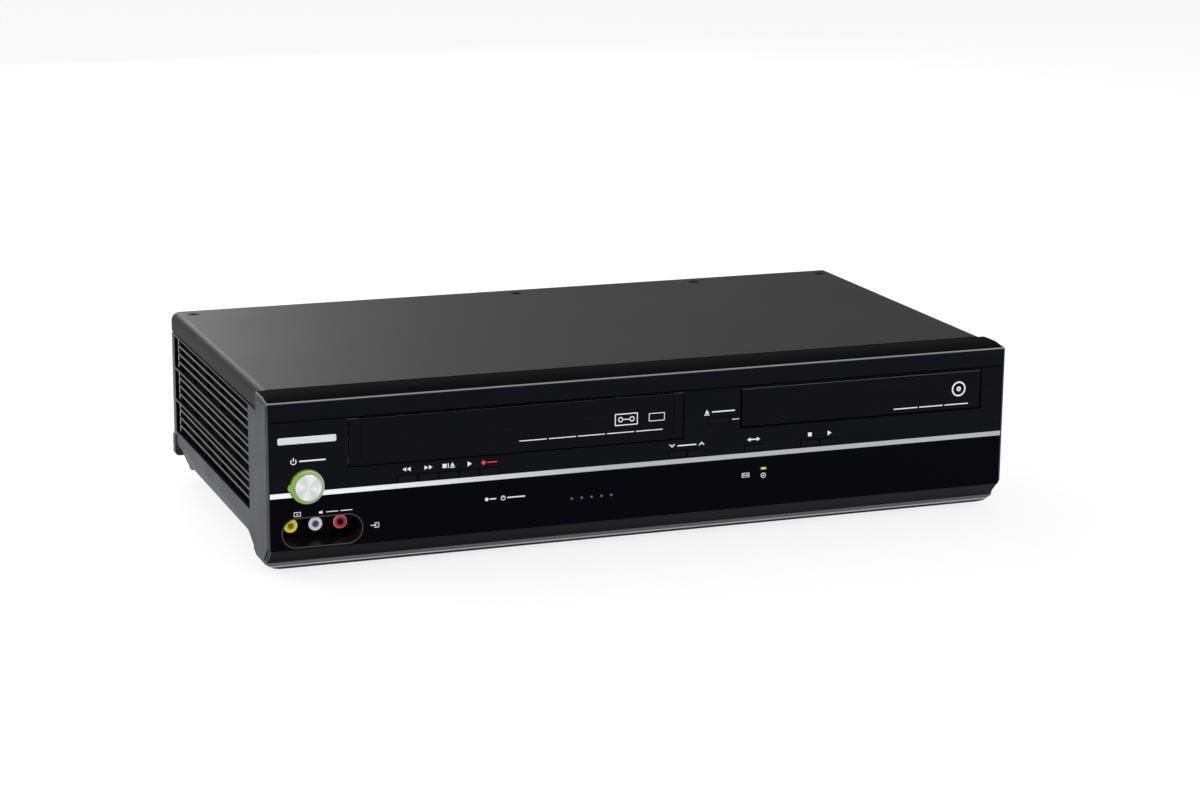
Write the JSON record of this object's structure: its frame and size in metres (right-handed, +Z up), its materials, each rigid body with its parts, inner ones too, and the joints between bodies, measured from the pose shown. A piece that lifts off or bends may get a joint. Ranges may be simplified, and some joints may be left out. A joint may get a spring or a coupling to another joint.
{
  "type": "dvd vcr combo player",
  "caption": "Low black and grey deck with a cassette slot behind a flap, a disc drawer, front keys, a round power button and audio video jacks.",
  "frame": {"origin": "on the table, under the middle of the box", "axes": "+X to the viewer's right along the front, +Y to the back, +Z up"},
  "size_m": [0.435, 0.241, 0.0995],
  "materials": {
    "aerial_metal": "bright plated",
    "jack_mixed": "moulded, coloured inserts",
    "chassis_plastic": "moulded black",
    "shaft_steel": "ground",
    "deck_steel": "zinc plated sheet",
    "carriage_steel": "plated sheet",
    "loader_plastic": "moulded black",
    "screw_black": "black zinc",
    "tray_plastic": "moulded, fine texture",
    "window_tint": "gloss, tinted",
    "belt_rubber": "matte",
    "key_black": "satin black",
    "foot_rubber": "matte",
    "grey_plastic": "matte, fine texture",
    "board_brown": "paper circuit board",
    "jack_white": "gloss",
    "jack_red": "gloss",
    "jack_yellow": "gloss",
    "drum_metal": "turned and polished",
    "black_gloss": "gloss",
    "lens_clear": "translucent, lit",
    "motor_metal": "drawn can",
    "board_green": "printed circuit board",
    "arm_mixed": "roller on a steel arm",
    "button_metal": "radially brushed",
    "green_ring": "translucent",
    "rear_steel": "matte paint",
    "silver_finish": "fine brushed",
    "reel_plastic": "white moulding",
    "cover_paint": "matte, fine texture",
    "black_brushed": "satin, fine horizontal lines",
    "gear_plastic": "natural white"
  },
  "bodies": {
    "root": {"aerial_sockets": "aerial_metal", "av_jacks": "jack_mixed", "bottom_chassis": "chassis_plastic", "carriage_brackets": "deck_steel", "clamp_bridge": "deck_steel", "component_jacks": "jack_mixed", "cover_screws": "screw_black", "deck_plate": "deck_steel", "display_window": "window_tint", "drive_belt": "belt_rubber", "feet": "foot_rubber", "front_bezel": "grey_plastic", "front_board": "board_brown", "front_left_jack": "jack_white", "front_right_jack": "jack_red", "front_video_jack": "jack_yellow", "jack_recess": "black_gloss", "lamp_lenses": "lens_clear", "left_side_panel": "grey_plastic", "loader_frame": "loader_plastic", "loading_motor": "motor_metal", "main_board": "board_green", "mains_inlet": "chassis_plastic", "power_board": "board_brown", "power_ring": "green_ring", "rear_panel": "rear_steel", "right_side_panel": "grey_plastic", "silver_strip": "silver_finish", "tape_path": "drum_metal", "top_cover": "cover_paint", "top_trim": "black_gloss", "upper_fascia": "black_brushed"},
    "rewind_key": {"rewind_key": "key_black"},
    "forward_key": {"forward_key": "key_black"},
    "stop_eject_key": {"stop_eject_key": "key_black"},
    "vcr_play_key": {"vcr_play_key": "key_black"},
    "record_key": {"record_key": "key_black"},
    "tracking_down_key": {"tracking_down_key": "key_black"},
    "tracking_up_key": {"tracking_up_key": "key_black"},
    "source_key": {"source_key": "key_black"},
    "dvd_stop_key": {"dvd_stop_key": "key_black"},
    "dvd_play_key": {"dvd_play_key": "key_black"},
    "open_close_key": {"open_close_key": "key_black"},
    "power_button": {"power_button": "button_metal"},
    "vcr_door": {"vcr_door": "black_brushed"},
    "disc_tray": {"disc_tray": "tray_plastic", "tray_front": "black_brushed"},
    "tray_gear": {"tray_gear": "gear_plastic"},
    "traverse": {"traverse_plate": "deck_steel", "pickup_rods": "shaft_steel"},
    "turntable": {"turntable": "loader_plastic"},
    "optical_pickup": {"optical_pickup": "loader_plastic"},
    "clamp_puck": {"clamp_puck": "loader_plastic"},
    "head_drum": {"head_drum": "drum_metal"},
    "supply_reel": {"supply_reel": "reel_plastic"},
    "takeup_reel": {"takeup_reel": "reel_plastic"},
    "capstan": {"capstan": "shaft_steel"},
    "pinch_arm": {"pinch_arm": "arm_mixed"},
    "carriage_slider": {"carriage_slider": "carriage_steel"},
    "cassette_carriage": {"cassette_carriage": "carriage_steel"}
  },
  "joints": [
    {"name": "rewind_key_press", "type": "slide", "parent": "root", "child": "rewind_key", "axis": [0, 1, 0], "range_m": [0, 0.0008], "stiffness_N_per_m": 400, "springref_m": -0.0005},
    {"name": "forward_key_press", "type": "slide", "parent": "root", "child": "forward_key", "axis": [0, 1, 0], "range_m": [0, 0.0008], "stiffness_N_per_m": 400, "springref_m": -0.0005},
    {"name": "stop_eject_key_press", "type": "slide", "parent": "root", "child": "stop_eject_key", "axis": [0, 1, 0], "range_m": [0, 0.0008], "stiffness_N_per_m": 400, "springref_m": -0.0005},
    {"name": "vcr_play_key_press", "type": "slide", "parent": "root", "child": "vcr_play_key", "axis": [0, 1, 0], "range_m": [0, 0.0008], "stiffness_N_per_m": 400, "springref_m": -0.0005},
    {"name": "record_key_press", "type": "slide", "parent": "root", "child": "record_key", "axis": [0, 1, 0], "range_m": [0, 0.0008], "stiffness_N_per_m": 400, "springref_m": -0.0005},
    {"name": "tracking_down_key_press", "type": "slide", "parent": "root", "child": "tracking_down_key", "axis": [0, 1, 0], "range_m": [0, 0.0008], "stiffness_N_per_m": 400, "springref_m": -0.0005},
    {"name": "tracking_up_key_press", "type": "slide", "parent": "root", "child": "tracking_up_key", "axis": [0, 1, 0], "range_m": [0, 0.0008], "stiffness_N_per_m": 400, "springref_m": -0.0005},
    {"name": "source_key_press", "type": "slide", "parent": "root", "child": "source_key", "axis": [0, 1, 0], "range_m": [0, 0.0008], "stiffness_N_per_m": 400, "springref_m": -0.0005},
    {"name": "dvd_stop_key_press", "type": "slide", "parent": "root", "child": "dvd_stop_key", "axis": [0, 1, 0], "range_m": [0, 0.0008], "stiffness_N_per_m": 400, "springref_m": -0.0005},
    {"name": "dvd_play_key_press", "type": "slide", "parent": "root", "child": "dvd_play_key", "axis": [0, 1, 0], "range_m": [0, 0.0008], "stiffness_N_per_m": 400, "springref_m": -0.0005},
    {"name": "open_close_key_press", "type": "slide", "parent": "root", "child": "open_close_key", "axis": [0, 1, 0], "range_m": [0, 0.0008], "stiffness_N_per_m": 400, "springref_m": -0.0005},
    {"name": "power_button_press", "type": "slide", "parent": "root", "child": "power_button", "axis": [0, 1, 0], "range_m": [0, 0.0012], "stiffness_N_per_m": 500, "springref_m": -0.0008},
    {"name": "vcr_door_hinge", "type": "hinge", "parent": "root", "child": "vcr_door", "pos_m": [0, -0.116, 0.0856], "axis": [1, 0, 0], "range_deg": [0, 90], "stiffness_Nm_per_rad": 0.01, "springref_deg": -22.92},
    {"name": "disc_tray_slide", "type": "slide", "parent": "root", "child": "disc_tray", "axis": [0, -1, 0], "range_m": [0, 0.14]},
    {"name": "tray_gear_spin", "type": "hinge", "parent": "root", "child": "tray_gear", "pos_m": [0.0742, -0.08525, 0.067], "axis": [0, 0, 1], "range_deg": [0, 803]},
    {"name": "traverse_tilt", "type": "hinge", "parent": "root", "child": "traverse", "pos_m": [0.1279, 0.047, 0.05625], "axis": [1, 0, 0], "range_deg": [0, 3.5]},
    {"name": "turntable_spin", "type": "hinge", "parent": "traverse", "child": "turntable", "pos_m": [0.1279, -0.038, 0.068], "axis": [0, 0, 1], "continuous": true},
    {"name": "pickup_slide", "type": "slide", "parent": "traverse", "child": "optical_pickup", "axis": [0, 1, 0], "range_m": [0, 0.034]},
    {"name": "clamp_puck_spin", "type": "hinge", "parent": "root", "child": "clamp_puck", "pos_m": [0.1279, -0.038, 0.078], "axis": [0, 0, 1], "continuous": true},
    {"name": "head_drum_spin", "type": "hinge", "parent": "root", "child": "head_drum", "pos_m": [-0.08395, 0.079, 0.055], "axis": [0, 0, 1], "continuous": true},
    {"name": "supply_reel_spin", "type": "hinge", "parent": "root", "child": "supply_reel", "pos_m": [-0.1237, -0.02, 0.035], "axis": [0, 0, 1], "continuous": true},
    {"name": "takeup_reel_spin", "type": "hinge", "parent": "root", "child": "takeup_reel", "pos_m": [-0.0312, -0.02, 0.035], "axis": [0, 0, 1], "continuous": true},
    {"name": "capstan_spin", "type": "hinge", "parent": "root", "child": "capstan", "pos_m": [-0.03395, 0.052, 0.035], "axis": [0, 0, 1], "continuous": true},
    {"name": "pinch_arm_swing", "type": "hinge", "parent": "root", "child": "pinch_arm", "pos_m": [-0.00795, 0.074, 0.03], "axis": [0, 0, 1], "range_deg": [-30, 0]},
    {"name": "carriage_slider_slide", "type": "slide", "parent": "root", "child": "carriage_slider", "axis": [0, 1, 0], "range_m": [0, 0.022]},
    {"name": "cassette_carriage_drop", "type": "slide", "parent": "carriage_slider", "child": "cassette_carriage", "axis": [0, 0, -1], "range_m": [0, 0.02]}
  ],
  "couplings": [
    {"joint": "tray_gear_spin", "follows": "disc_tray_slide", "rad_per_m": 100}
  ]
}
